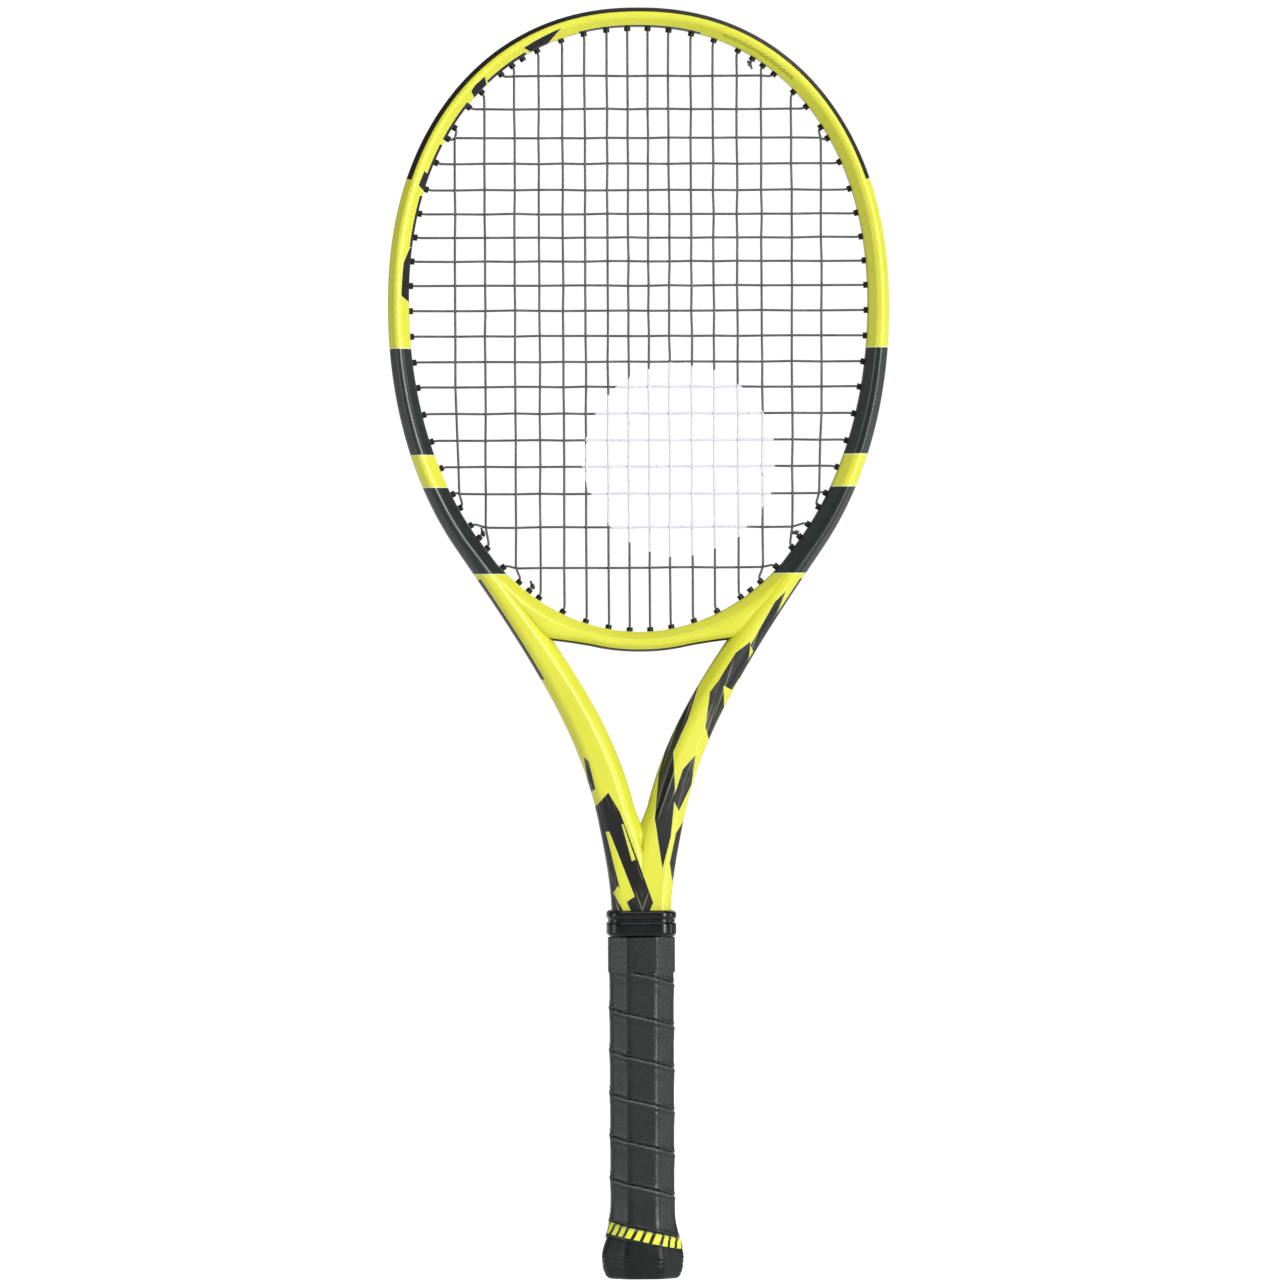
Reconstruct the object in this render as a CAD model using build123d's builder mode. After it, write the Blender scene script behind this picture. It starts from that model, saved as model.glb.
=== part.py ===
"""Tennis racket: a 27 inch moulded frame strung 16 by 19, with an octagonal handle.

Millimetres. The racket stands on its butt: +Z runs up the length, X across the strings,
and the front of the string bed faces -Y. The origin is the bottom centre of the butt cap.
"""
import os
from math import copysign, cos, hypot, radians, sin, sqrt

from build123d import *

os.makedirs("parts", exist_ok=True)

# ---- hoop and arms -------------------------------------------------------------------
hoop_half_width = 129.5  # all hoop sizes are to the middle of the tube
hoop_middle = 524.7
hoop_rise, rise_power = 155.2, 2.18
hoop_drop, drop_power = 181.5, 2.05
arm_start = -45  # angle on the hoop where the arms leave it
arm_pull, shaft_pull = 95, 75  # how far each end of an arm keeps its direction
leg_centre, shaft_top = 8, 200
shaft_bottom = 184
hoop_face = [(-90, 10.8), (-45, 12.6), (0, 11.1), (90, 10.2)]  # angle, width seen from the front
arm_face = [(184, 15.6), (202, 15.7), (220, 18.4), (240, 20.6), (258, 20.2), (284, 19.4),
            (310, 18), (335, 16.4), (355, 15), (395, 12.6)]  # height, width
beam_depth = [(184, 23), (240, 23), (335, 25), (395, 26), (525, 25), (600, 24), (680, 23)]
leg_overlap = [(184, 8), (202, 8), (220, 6), (240, 2.2), (252, 0)]  # past the middle plane
tube_wall, groove_wall, centre_wall = 1.4, 4.2, 0.9
outer_bevel, outer_bevel_most = 0.28, 3.6  # share of the face width, and its limit
inner_bevel, inner_bevel_most = 0.36, 4.6
outer_side, inner_side = 0.26, 0.22  # half heights of the flat sides, as shares of the depth
edge_round, edge_round_most = 0.18, 3
past_top = 96  # turn at which shapes of the right half start, a little past the middle
full_depth = 20  # half depth of anything that has to be wider than the tube
rod_before, rod_after = 6, 3  # how far a drilled hole runs past the ends of its string line

# ---- stringing -----------------------------------------------------------------------
string_radius = 0.65
weave = 0.68  # how far each string leaves the middle plane at a crossing
main_gaps = [5.45, 11.2, 12, 12, 12.8, 13.2, 16.2, 16]
cross_top = 648.3
cross_gaps = [17.8, 15.6, 13.9, 14.2, 12.9, 12.7, 12.8, 13.1, 13.5, 13.7, 13.9, 13.5, 14.4,
              14.4, 14.2, 14.6, 18.1, 21.9]
main_x = [sum(main_gaps[: i + 1]) for i in range(len(main_gaps))]
cross_z = [cross_top - sum(cross_gaps[:i]) for i in range(len(cross_gaps) + 1)]
shoulder_exits = {4: 335, 5: 349, 6: 362.5, 7: 383.5}  # main number, height where it leaves an arm
last_cross_exit = 375.5
tie_top_turn, tie_main_turn, tie_cross_turn = 61.7, -44.8, -61
tie_main_exit, tie_cross_exit = 390.5, 355.7
# degrees that a string end moves round the frame to keep clear of its neighbour's hole
top_shift, bottom_shift = {8: 1.2}, {6: -1.5, 7: -1.1, 8: -2.9}
cross_shift = {1: -0.3, 3: -0.6, 17: 0.3, 18: 1.0, 19: 0.9}
last_main_lean = [(423, -1.8), (480, 0)]  # height, how far the outermost mains lean inwards
bridge_mains = 3

# ---- grommets and bumper -------------------------------------------------------------
groove_depth, groove_half = 3.1, 2.9
strip_top, strip_bottom, strip_half = 2.2, 3.0, 2.8
channel_half = 2.3
barrel_radius, barrel_bore, barrel_hole = 1.7, 1.1, 1.8
nub = 2.2  # how far a barrel stands past the inner face
string_inset = 1.5
loop_side = 1.4
bumper_end, bumper_thickness = 592, 2.0
strip_end = 324
throat_turn = -74  # angle at which the strip under the bridge ends
end_gap = 0.4  # degrees left open between one strip and the next
knot_gap, knot_radius, tail_reach, knot_turn = 1.4, 1.6, 3.0, (15, 70, 20)
mouth_y = 0.3
corner_cut, sharp = 0.8, -0.5  # corners sharper than 60 degrees are cut in two
straight = -0.9997  # corners flatter than 1.4 degrees are left out
bridge_depth, bridge_step = 20, 0.25
bridge_end = 72           # its thin tips stop here, short of running out to nothing
fit = 0.05

# ---- handle --------------------------------------------------------------------------
pallet_width, pallet_depth, pallet_corner = 31.7, 27.8, 8.5
grip_thickness = 1.85
grip_top = 184
leg_half_width, leg_depth, leg_wall, leg_chamfer = 13, 19, 1.4, 3.5
leg_bottom = 6
across_corner = 2 - sqrt(2)  # how fast an octagon's corner cut grows with its size
cap_top, cap_floor, cap_wall = 40, 3, 0.9
flare = [(40, 1.85), (31, 2.4), (24, 4.0), (17, 5.7), (11.3, 6.25), (5, 5.6), (0, 3.6)]
skin = [(13, 0), (17, 0.6), (24, 1.3), (31, 1.7), (40, 1.85)]  # grip thickness over the cap
collar_bottom, collar_top, collar_neck = 184.4, 198.5, 0.6
lower_bead, upper_bead = 8.2, 5.3
collar_width, collar_depth, collar_corner, bead_round = 37, 33, 9, 2.2
collar_bore_width, collar_bore_depth, collar_bore_corner = 33.2, 24.2, 4.5
cap_round = 2.0
door_radius, door_plug, door_flange, door_gap = 12.4, 10.1, 1.25, 0.4
staple_wire = 0.7
cap_crown, cap_staple_z, cap_leg = 9, 30, 4.4
start_crown, start_staple_z, start_leg = 8, 46, 3.2
tape_bottom, tape_thickness = 165, 0.2
grip_edge, grip_slope = 19.2, 0.19  # height of the lower edge at the middle, and its fall toward +X


def between(knots, value):
    """Straight-line reading of a list of (position, size) pairs."""
    knots = sorted(knots)
    if value <= knots[0][0]:
        return knots[0][1]
    for (a, low), (b, high) in zip(knots, knots[1:]):
        if value <= b:
            return low + (high - low) * (value - a) / (b - a)
    return knots[-1][1]


def hoop_path(angle):
    """Middle of the hoop tube at an angle from +X: x, z and the outward direction."""
    across, along = cos(radians(angle)), sin(radians(angle))
    rise, power = (hoop_rise, rise_power) if along >= 0 else (hoop_drop, drop_power)
    x = copysign(abs(across) ** (2 / power), across)
    z = copysign(abs(along) ** (2 / power), along)
    nx = copysign(abs(x) ** (power - 1), x) / hoop_half_width
    nz = copysign(abs(z) ** (power - 1), z) / rise
    size = hypot(nx, nz)
    return x * hoop_half_width, hoop_middle + z * rise, nx / size, nz / size


def arm_path(u):
    """Middle of the right arm, from the hoop (u = 0) to the shaft (u = 1)."""
    x0, z0, nx, nz = hoop_path(arm_start)
    xs = [x0, x0 + nz * arm_pull, leg_centre, leg_centre]
    zs = [z0, z0 - nx * arm_pull, shaft_top + shaft_pull, shaft_top]
    v = 1 - u
    weights = [v**3, 3 * v * v * u, 3 * v * u * u, u**3]
    slopes = [-3 * v * v, 3 * v * v - 6 * v * u, 6 * v * u - 3 * u * u, 3 * u * u]
    x, z = sum(w * p for w, p in zip(weights, xs)), sum(w * p for w, p in zip(weights, zs))
    dx, dz = sum(w * p for w, p in zip(slopes, xs)), sum(w * p for w, p in zip(slopes, zs))
    return x, z, -dz / hypot(dx, dz), dx / hypot(dx, dz)


def frame_path(turn):
    """Middle of the right half of the frame. Below the arm start, the turn runs down the arm."""
    if turn >= arm_start:
        return hoop_path(turn)
    return arm_path((arm_start - turn) / 45)


def face_width(turn):
    x, z, nx, nz = frame_path(turn)
    if turn >= arm_start:
        return between(hoop_face, min(turn, 180 - turn))
    return between(arm_face, z)


def outer_point(turn, inset):
    """Point below the outer edge of the right half of the frame."""
    x, z, nx, nz = frame_path(turn)
    reach = face_width(turn) / 2 - inset
    return x + nx * reach, z + nz * reach


def inner_point(angle, reach):
    """Point inside the string opening, a reach from its edge."""
    x, z, nx, nz = hoop_path(angle)
    inward = between(hoop_face, min(angle, 180 - angle)) / 2 + reach
    return x - nx * inward, z - nz * inward


def bridge_point(angle, inset):
    """Point above the lower edge of the throat bridge."""
    x, z, nx, nz = hoop_path(angle)
    reach = between(hoop_face, max(angle, -180 - angle)) / 2 - inset
    return x + nx * reach, z + nz * reach


def turn_where(point, reach, axis, value, low, high):
    """The turn at which a point function reaches a value, between two turns."""
    rising = point(high, reach)[axis] > point(low, reach)[axis]
    for _ in range(50):
        middle = (low + high) / 2
        if (point(middle, reach)[axis] < value) == rising:
            low = middle
        else:
            high = middle
    return low


# ---- where every string passes the frame, on the right half: (exit turn, mouth angle) ----
mouth = nub + 0.5
X, Z = 0, 1


def arm_exit(height):
    return turn_where(outer_point, string_inset, Z, height, -90, 0)


main_tops, main_bottoms, cross_ends = [], [], []
for number, x in enumerate(main_x, start=1):
    top = turn_where(inner_point, mouth, X, x, 5, 90) + top_shift.get(number, 0)
    bottom = turn_where(inner_point, mouth, X, x, -90, -5) + bottom_shift.get(number, 0)
    main_tops.append((top, top))
    leaves = arm_exit(shoulder_exits[number]) if number in shoulder_exits else bottom
    main_bottoms.append((leaves, bottom))
for number, z in enumerate(cross_z, start=1):
    end = turn_where(inner_point, mouth, Z, z, -80, 80) + cross_shift.get(number, 0)
    cross_ends.append((end, end))
cross_ends[-1] = (arm_exit(last_cross_exit), cross_ends[-1][1])
tie_top = (tie_top_turn, tie_top_turn)
tie_main = (arm_exit(tie_main_exit), tie_main_turn)
tie_cross = (arm_exit(tie_cross_exit), tie_cross_turn)

top_holes = main_tops + cross_ends[:4] + [tie_top]
side_holes = cross_ends[4:] + main_bottoms[bridge_mains:] + [tie_main, tie_cross]
bridge_holes = main_bottoms[:bridge_mains]


def hole_line(hole, edge=outer_point):
    """Ends of a string hole: in the outer groove and at the mouth of its barrel."""
    return edge(hole[0], string_inset), inner_point(hole[1], mouth)


def rods(holes, radius, before, after, edge=outer_point):
    """Round rods along string holes, starting and ending past the ends of their lines."""
    with BuildPart() as made:
        for hole in holes:
            (x0, z0), (x1, z1) = hole_line(hole, edge)
            length = hypot(x1 - x0, z1 - z0)
            dx, dz = (x1 - x0) / length, (z1 - z0) / length
            with BuildSketch(Plane((x0 - dx * before, 0, z0 - dz * before), z_dir=(dx, 0, dz))):
                Circle(radius)
            extrude(amount=length + before + after)
    return made.part


def barrels(holes, edge=outer_point):
    return rods(holes, barrel_radius, -(strip_top + strip_bottom) / 2 + string_inset, -0.5, edge)


def band(first, last, inset, half, edge=outer_point, outside=-6):
    """Everything beyond an inset line along the outer edge, from the lower turn up."""
    first, last = min(first, last), max(first, last)
    whole = [t for t in range(-180, 100, 3) if first + 0.5 < t < last - 0.5]
    turns = [first] + whole + [last]
    low = [edge(t, inset) for t in turns]
    high = [edge(t, outside) for t in reversed(turns)]
    with BuildPart() as made:
        with BuildSketch(Plane.XZ):
            with BuildLine():
                Spline(*low)
                Line(low[-1], high[0])
                Spline(*high)
                Line(high[-1], low[0])
            make_face()
        extrude(amount=half, both=True)
    return made.part


def tube_section(x, z, nx, nz, inner, outer, depth):
    """Bevelled tube section across a path, with its reach inward and outward."""
    width, shift = inner + outer, (outer - inner) / 2
    outer_run = min(outer_bevel * width, outer_bevel_most)
    inner_run = min(inner_bevel * width, inner_bevel_most)
    corners = [(width / 2, outer_side * depth), (width / 2 - outer_run, depth / 2),
               (-width / 2 + inner_run, depth / 2), (-width / 2, inner_side * depth)]
    corners += [(x, -y) for x, y in reversed(corners)]
    place = Plane((x + nx * shift, 0, z + nz * shift), x_dir=(nx, 0, nz), z_dir=(nz, 0, -nx))
    with BuildSketch(place) as section:
        with BuildLine():
            FilletPolyline(*corners, radius=min(edge_round * width, edge_round_most), close=True)
        make_face()
    return section.sketch


# ---- the outside and the inside of the right half of the frame ------------------------
hoop_turns = [102, 90, 78, 66, 54, 42, 30, 18, 6, -6, -18, -30, -41]
arm_heights = [378, 358, 338, 316, 292, 268, 248, 232, 216, 202]
turns = hoop_turns + [turn_where(lambda t, _: frame_path(t), 0, Z, h, -90, 0) for h in arm_heights]

outside, inside = [], []
for turn in turns:
    x, z, nx, nz = frame_path(turn)
    half, depth = face_width(turn) / 2, between(beam_depth, z)
    outside.append(tube_section(x, z, nx, nz, half + between(leg_overlap, z), half, depth))
    inner = half - tube_wall if turn > 0 else min(half - tube_wall, x / nx - centre_wall)
    outer = half - between([(286, tube_wall), (300, groove_wall)], z)
    inside.append(tube_section(x, z, nx, nz, inner, outer, depth - 2 * tube_wall))
shaft_half = arm_face[0][1] / 2
outside.append(tube_section(leg_centre, shaft_bottom, 1, 0, shaft_half + leg_overlap[0][1],
                            shaft_half, beam_depth[0][1]))

with BuildPart() as hull:
    loft(outside)
    split(bisect_by=Plane.YZ, keep=Keep.TOP)

with BuildPart() as cavity:
    loft(inside)


def leg_outline(height, inset, start):
    """Right-hand leg of the frame inside the handle, from a start at its centre side."""
    wide, deep = leg_half_width - inset, leg_depth / 2 - inset
    cut = leg_chamfer - across_corner * inset
    with BuildSketch(Plane.XY.offset(height)) as outline:
        with BuildLine():
            Polyline((start, -deep), (wide - cut, -deep), (wide, cut - deep), (wide, deep - cut),
                     (wide - cut, deep), (start, deep), close=True)
        make_face()
    return outline.sketch


hollow_top = arm_heights[-1] + 12
# ---- 1 frame: hoop, arms, shaft and the two legs inside the handle ---------------------
with BuildPart() as frame_hairpin:
    add(hull.part)
    add(leg_outline(leg_bottom, 0, 0))
    extrude(amount=shaft_bottom - leg_bottom)
    add(cavity.part, mode=Mode.SUBTRACT)
    add(leg_outline(leg_bottom, leg_wall, centre_wall))
    extrude(amount=hollow_top - leg_bottom, mode=Mode.SUBTRACT)
    groove_last = turn_where(outer_point, 0, Z, strip_end - 1, -90, 0)
    bumper_last = turn_where(outer_point, 0, Z, bumper_end, -90, 90)
    add(band(past_top, groove_last, groove_depth, groove_half), mode=Mode.SUBTRACT)
    add(band(past_top, bumper_last, bumper_thickness + fit, full_depth), mode=Mode.SUBTRACT)
    add(rods(top_holes + side_holes, barrel_hole, rod_before, rod_after), mode=Mode.SUBTRACT)
    mirror(about=Plane.YZ)
frame_hairpin.part.label = "frame_hairpin"
export_step(frame_hairpin.part, "parts/frame_hairpin.step")

# ---- 2 throat bridge: closes the string opening between the arms ------------------------
bridge_sections, bridge_hollow = [], []
for angle in range(-130, -49, 8):
    x, z, nx, nz = hoop_path(angle)
    aside = abs(angle + 90)
    half = between(hoop_face, max(angle, -180 - angle)) / 2
    inner = half - between([(15, 0), (40, bridge_step)], aside)
    depth = between([(0, bridge_depth), (40, bridge_depth + 2)], aside)
    bridge_sections.append(tube_section(x, z, nx, nz, inner, half, depth))
    if aside < 28:
        bridge_hollow.append(tube_section(x, z, nx, nz, inner - tube_wall, half - groove_wall,
                                          depth - 2 * tube_wall))

with BuildPart() as bridge_body:
    loft(bridge_sections)

with BuildPart() as throat_bridge:
    add(bridge_body.part)
    loft(bridge_hollow, mode=Mode.SUBTRACT)
    add(band(-180 - throat_turn, throat_turn, groove_depth, groove_half, bridge_point),
        mode=Mode.SUBTRACT)
    split(bisect_by=Plane.YZ, keep=Keep.TOP)
    split(bisect_by=Plane.YZ.offset(bridge_end), keep=Keep.BOTTOM)
    add(hull.part, mode=Mode.SUBTRACT)
    add(rods(side_holes, barrel_hole, rod_before, rod_after), mode=Mode.SUBTRACT)
    add(rods(bridge_holes, barrel_hole, rod_before, rod_after, bridge_point), mode=Mode.SUBTRACT)
    mirror(about=Plane.YZ)
throat_bridge.part.label = "throat_bridge"
export_step(throat_bridge.part, "parts/throat_bridge.step")

# ---- 3 bumper guard: wraps the top of the hoop and lines its groove ---------------------
with BuildPart() as bumper_guard:
    add(band(past_top, bumper_last + end_gap, bumper_thickness, full_depth))
    add(band(past_top, bumper_last + end_gap, strip_bottom, strip_half))
    add(hull.part, mode=Mode.INTERSECT)
    add(barrels(top_holes))
    add(band(past_top, bumper_last - 2, strip_top, channel_half), mode=Mode.SUBTRACT)
    add(rods(top_holes, barrel_bore, rod_before, rod_after), mode=Mode.SUBTRACT)
    mirror(about=Plane.YZ)
bumper_guard.part.label = "bumper_guard"
export_step(bumper_guard.part, "parts/bumper_guard.step")

# ---- 4 and 5 side grommet strips --------------------------------------------------------
with BuildPart() as grommet_strip_right:
    add(band(bumper_last - end_gap, groove_last + end_gap, strip_bottom, strip_half))
    add(hull.part, mode=Mode.INTERSECT)
    add(barrels(side_holes))
    add(band(bumper_last + 2, groove_last - 1, strip_top, strip_half + 1),
        mode=Mode.SUBTRACT)
    add(rods(side_holes, barrel_bore, rod_before, rod_after), mode=Mode.SUBTRACT)
grommet_strip_right.part.label = "grommet_strip_right"
export_step(grommet_strip_right.part, "parts/grommet_strip_right.step")

with BuildPart() as grommet_strip_left:
    add(grommet_strip_right.part)
    mirror(about=Plane.YZ, mode=Mode.REPLACE)
grommet_strip_left.part.label = "grommet_strip_left"
export_step(grommet_strip_left.part, "parts/grommet_strip_left.step")

# ---- 6 throat grommet strip ---------------------------------------------------------------
with BuildPart() as grommet_strip_throat:
    add(band(-180 - throat_turn + end_gap, throat_turn - end_gap, strip_bottom, strip_half,
             bridge_point))
    add(bridge_body.part, mode=Mode.INTERSECT)
    split(bisect_by=Plane.YZ, keep=Keep.TOP)
    add(barrels(bridge_holes, bridge_point))
    add(band(-181 - throat_turn, throat_turn + 1, strip_top, strip_half + 1, bridge_point),
        mode=Mode.SUBTRACT)
    add(rods(bridge_holes, barrel_bore, rod_before, rod_after, bridge_point), mode=Mode.SUBTRACT)
    mirror(about=Plane.YZ)
grommet_strip_throat.part.label = "grommet_strip_throat"
export_step(grommet_strip_throat.part, "parts/grommet_strip_throat.step")


# ---- 7 and 8 the strings: two long threads, each woven through the other ------------------
def loop(first, last, y, side, edge=outer_point):
    """The part of a thread that lies in the outer groove between two holes."""
    (x0, z0), (x1, z1) = edge(first, string_inset), edge(last, string_inset)
    pieces = max(4, round(hypot(x1 - x0, z1 - z0) / 4))
    route = []
    for number in range(1, pieces):
        x, z = edge(first + (last - first) * number / pieces, string_inset)
        route.append((side * x, y, z))
    return route


def through(hole, side, y, edge=outer_point):
    """From the groove to the mouth of a barrel."""
    (x0, z0), (x1, z1) = hole_line(hole, edge)
    return [(side * x0, 0, z0), (side * x1, y, z1)]


def tied_end(hole, side):
    """Tail, knot and the way out through a tie-off barrel."""
    (x0, z0), (x1, z1) = hole_line(hole)
    length = hypot(x1 - x0, z1 - z0)
    dx, dz = (x1 - x0) / length, (z1 - z0) / length
    knot = (side * (x1 + dx * knot_gap), 0, z1 + dz * knot_gap)
    tail = (knot[0] + side * dx * tail_reach, tail_reach, knot[2] + dz * tail_reach)
    return [tail, knot, (side * x1, 0, z1), (side * x0, 0, z0)]


def side_of(column):
    return (-1, len(main_x) - column) if column < len(main_x) else (1, column - len(main_x) + 1)


def main_at(number, height):
    """How far a main is from the middle at a height."""
    return main_x[number - 1] + (between(last_main_lean, height) if number == len(main_x) else 0)


def bed_main(column):
    """One main from its bottom mouth to its top mouth, with the holes it uses."""
    side, number = side_of(column)
    top, bottom = main_tops[number - 1], main_bottoms[number - 1]
    low, high = inner_point(bottom[1], mouth)[Z], inner_point(top[1], mouth)[Z]
    rows = [r for r in range(len(cross_z)) if low < cross_z[r] < high]
    bed = [(side * main_at(number, cross_z[r]), weave if (column + r) % 2 else -weave, cross_z[r])
           for r in reversed(rows)]
    edge = bridge_point if number <= bridge_mains else outer_point
    up = through(bottom, side, copysign(mouth_y, bed[0][1]), edge) + bed
    return up + through(top, side, copysign(mouth_y, bed[-1][1]))[::-1]


def bed_cross(row):
    """One cross from its left groove to its right groove."""
    hole = cross_ends[row]
    reach = inner_point(hole[1], mouth)[X]
    bed = []
    for column in range(2 * len(main_x)):
        side, number = side_of(column)
        if main_at(number, cross_z[row]) < reach:
            y = -weave if (column + row) % 2 else weave
            bed.append((side * main_at(number, cross_z[row]), y, cross_z[row]))
    left = through(hole, -1, copysign(mouth_y, bed[0][1]))
    return left + bed + through(hole, 1, copysign(mouth_y, bed[-1][1]))[::-1]


main_route = tied_end(tie_main, -1) + loop(tie_main[0], main_bottoms[-1][0], loop_side, -1)
for column in range(2 * len(main_x)):
    run = bed_main(column)
    main_route += run if column % 2 == 0 else run[::-1]
    if column == 2 * len(main_x) - 1:
        break
    side, number = side_of(column)
    following = side_of(column + 1)[1]
    if column == len(main_x) - 1:
        inmost = main_bottoms[0][0]
        main_route += loop(-180 - inmost, inmost, loop_side, 1, bridge_point)
    elif column % 2 == 0:
        main_route += loop(main_tops[number - 1][0], main_tops[following - 1][0], loop_side, side)
    else:
        edge = bridge_point if max(number, following) <= bridge_mains else outer_point
        main_route += loop(main_bottoms[number - 1][0], main_bottoms[following - 1][0],
                           loop_side, side, edge)
main_route += loop(main_bottoms[-1][0], tie_main[0], loop_side, 1)
main_route += tied_end(tie_main, 1)[::-1]

cross_route = tied_end(tie_top, 1) + loop(tie_top[0], cross_ends[0][0], -loop_side, 1)
for row in range(len(cross_z)):
    run = bed_cross(row)
    cross_route += run if row % 2 else run[::-1]
    if row < len(cross_z) - 1:
        cross_route += loop(cross_ends[row][0], cross_ends[row + 1][0], -loop_side,
                            1 if row % 2 else -1)
cross_route += loop(cross_ends[-1][0], tie_cross[0], -loop_side, -1)
cross_route += tied_end(tie_cross, -1)[::-1]


def softened(route):
    """The same route with sharp corners cut in two and points on straight runs left out."""
    points = [Vector(*point) for point in route]
    soft = [points[0]]
    for corner, after in zip(points[1:], points[2:]):
        back, ahead = (soft[-1] - corner).normalized(), (after - corner).normalized()
        if back.dot(ahead) > sharp:
            soft += [corner + back * corner_cut, corner + ahead * corner_cut]
        elif back.dot(ahead) > straight:
            soft.append(corner)
    return soft + [points[-1]]


def thread(route):
    """A round thread along straight runs, with a knot one point in from each end."""
    points = softened(route)
    with BuildPart() as made:
        with BuildLine() as line:
            Polyline(*points)
        with BuildSketch(Plane(points[0], z_dir=(points[1] - points[0]).normalized())):
            Circle(string_radius)
        sweep(path=line.wire(), transition=Transition.RIGHT)
        with Locations(route[1], route[-2]):
            Sphere(knot_radius, rotation=knot_turn)
    return made.part


with BuildPart() as main_string:
    add(thread(main_route))
main_string.part.label = "main_string"
export_step(main_string.part, "parts/main_string.step")

with BuildPart() as cross_string:
    add(thread(cross_route))
cross_string.part.label = "cross_string"
export_step(cross_string.part, "parts/cross_string.step")


# ---- handle --------------------------------------------------------------------------------
def octagon(height, grow):
    """Handle octagon at a height, grown outward from the bare pallet size."""
    with BuildSketch(Plane.XY.offset(height)) as outline:
        Rectangle(pallet_width + 2 * grow, pallet_depth + 2 * grow)
        chamfer(outline.vertices(), length=pallet_corner + across_corner * grow)
    return outline.sketch


def prism(low, high, grow):
    with BuildPart() as made:
        add(octagon(low, grow))
        extrude(amount=high - low)
    return made.part


def staple(crown, height, y, leg, grow=0):
    """Wire staple lying across X at a height, its legs pointing to the middle of the handle."""
    wire, inward = staple_wire + 2 * grow, -copysign(1, y)
    with BuildPart() as made:
        with Locations((0, y, height)):
            Box(crown + 2 * grow, wire, wire)
        with Locations(*[(side * (crown - staple_wire) / 2, y + inward * leg / 2, height)
                         for side in (-1, 1)]):
            Box(wire, leg + 2 * grow, wire)
    return made.part


cap_levels = [40, 31, 24, 17, 11, 5, 0]
staple_y = pallet_depth / 2 + between(flare, cap_staple_z) - between(skin, cap_staple_z) + 0.45
cap_staples = [(cap_crown, cap_staple_z, side * staple_y, cap_leg) for side in (-1, 1)]
start_staple = (start_crown, start_staple_z, pallet_depth / 2 + staple_wire / 2 + fit, start_leg)

with BuildPart() as staple_room:
    for each in cap_staples + [start_staple]:
        add(staple(*each, grow=fit))

# ---- 9 and 10 foam pallets ------------------------------------------------------------------
with BuildPart() as leg_room:
    add(leg_outline(0, -fit, 0))
    extrude(amount=grip_top)
    mirror(about=Plane.YZ)

with BuildPart() as pallets:
    add(prism(cap_floor + 0.2, cap_top + 0.2, -cap_wall - fit))
    add(prism(cap_top + 0.2, grip_top - 0.1, 0))
    add(leg_room.part, mode=Mode.SUBTRACT)
    add(staple_room.part, mode=Mode.SUBTRACT)

with BuildPart() as handle_pallet_front:
    add(pallets.part)
    split(bisect_by=Plane.XZ.offset(fit / 2), keep=Keep.TOP)
handle_pallet_front.part.label = "handle_pallet_front"
export_step(handle_pallet_front.part, "parts/handle_pallet_front.step")

with BuildPart() as handle_pallet_back:
    add(pallets.part)
    split(bisect_by=Plane.XZ.offset(-fit / 2), keep=Keep.BOTTOM)
handle_pallet_back.part.label = "handle_pallet_back"
export_step(handle_pallet_back.part, "parts/handle_pallet_back.step")

# ---- 11 butt cap, 12 its door, 13 its staples, 14 grip start staple ---------------------------
with BuildPart() as cap_outside:
    loft([octagon(z, between(flare, z) - between(skin, z)) for z in cap_levels])

with BuildPart() as butt_cap:
    add(cap_outside.part)
    fillet(butt_cap.faces().sort_by(Axis.Z)[0].edges(), radius=cap_round)
    add(prism(cap_floor, cap_top + 1, -cap_wall), mode=Mode.SUBTRACT)
    with BuildSketch(Plane.XY):
        Circle(door_radius + door_gap)
    extrude(amount=door_flange + door_gap, mode=Mode.SUBTRACT)
    with BuildSketch(Plane.XY):
        Circle(door_plug + door_gap)
    extrude(amount=cap_floor + 1, mode=Mode.SUBTRACT)
    add(staple_room.part, mode=Mode.SUBTRACT)
butt_cap.part.label = "butt_cap"
export_step(butt_cap.part, "parts/butt_cap.step")

with BuildPart() as butt_cap_door:
    with BuildSketch(Plane.XY.offset(0.1)):
        Circle(door_radius)
    extrude(amount=door_flange - 0.1)
    with BuildSketch(Plane.XY.offset(door_flange)):
        Circle(door_plug)
        Circle(door_plug - 1.5, mode=Mode.SUBTRACT)
    extrude(amount=cap_floor - 0.2 - door_flange)
butt_cap_door.part.label = "butt_cap_door"
export_step(butt_cap_door.part, "parts/butt_cap_door.step")

with BuildPart() as butt_cap_staples:
    for each in cap_staples:
        add(staple(*each))
butt_cap_staples.part.label = "butt_cap_staples"
export_step(butt_cap_staples.part, "parts/butt_cap_staples.step")

with BuildPart() as grip_start_staple:
    add(staple(*start_staple))
grip_start_staple.part.label = "grip_start_staple"
export_step(grip_start_staple.part, "parts/grip_start_staple.step")

# ---- 15 base grip, 16 finishing tape, 17 collar -------------------------------------------------
with BuildPart() as base_grip:
    loft([octagon(z, between(flare, z)) for z in cap_levels[:-2]])
    add(prism(cap_top, grip_top, grip_thickness))
    split(bisect_by=Plane(origin=(0, 0, grip_edge), z_dir=(grip_slope, 0, 1)), keep=Keep.TOP)
    add(prism(0, grip_top + 1, fit), mode=Mode.SUBTRACT)
    loft([octagon(z, between(flare, z) - between(skin, z) + fit) for z in cap_levels],
         mode=Mode.SUBTRACT)
    add(staple_room.part, mode=Mode.SUBTRACT)
base_grip.part.label = "base_grip"
export_step(base_grip.part, "parts/base_grip.step")

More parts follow.
